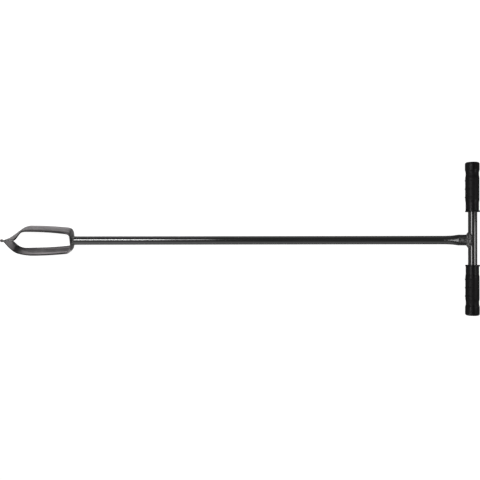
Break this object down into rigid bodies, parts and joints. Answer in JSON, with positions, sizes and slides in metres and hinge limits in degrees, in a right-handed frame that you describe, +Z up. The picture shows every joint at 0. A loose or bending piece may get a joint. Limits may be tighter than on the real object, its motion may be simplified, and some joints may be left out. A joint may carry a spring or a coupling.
{
  "type": "hand earth auger",
  "caption": "Hand earth auger with a long tubular shaft, a crossbar with moulded rubber grips and an open loop head of bent cutting blades ending in a screw point.",
  "frame": {"origin": "middle of the outline on the ground, with the tool lying as pictured", "axes": "+X along the shaft from the screw point towards the crossbar, +Y along the crossbar, +Z up from the ground"},
  "size_m": [1.2028, 0.385, 0.0599],
  "materials": {
    "black_lacquer": "gloss",
    "crossbar_lacquer": "gloss",
    "weld_metal": "satin",
    "grip_rubber": "satin",
    "blade_steel": "satin"
  },
  "bodies": {
    "root": {"shaft": "black_lacquer", "crossbar": "crossbar_lacquer", "crossbar_weld": "weld_metal", "left_grip": "grip_rubber", "right_grip": "grip_rubber", "left_blade": "blade_steel", "right_blade": "blade_steel", "foot_weld": "weld_metal", "screw_point": "blade_steel", "front_seam_weld": "blade_steel", "rear_seam_weld": "blade_steel"}
  },
  "joints": []
}
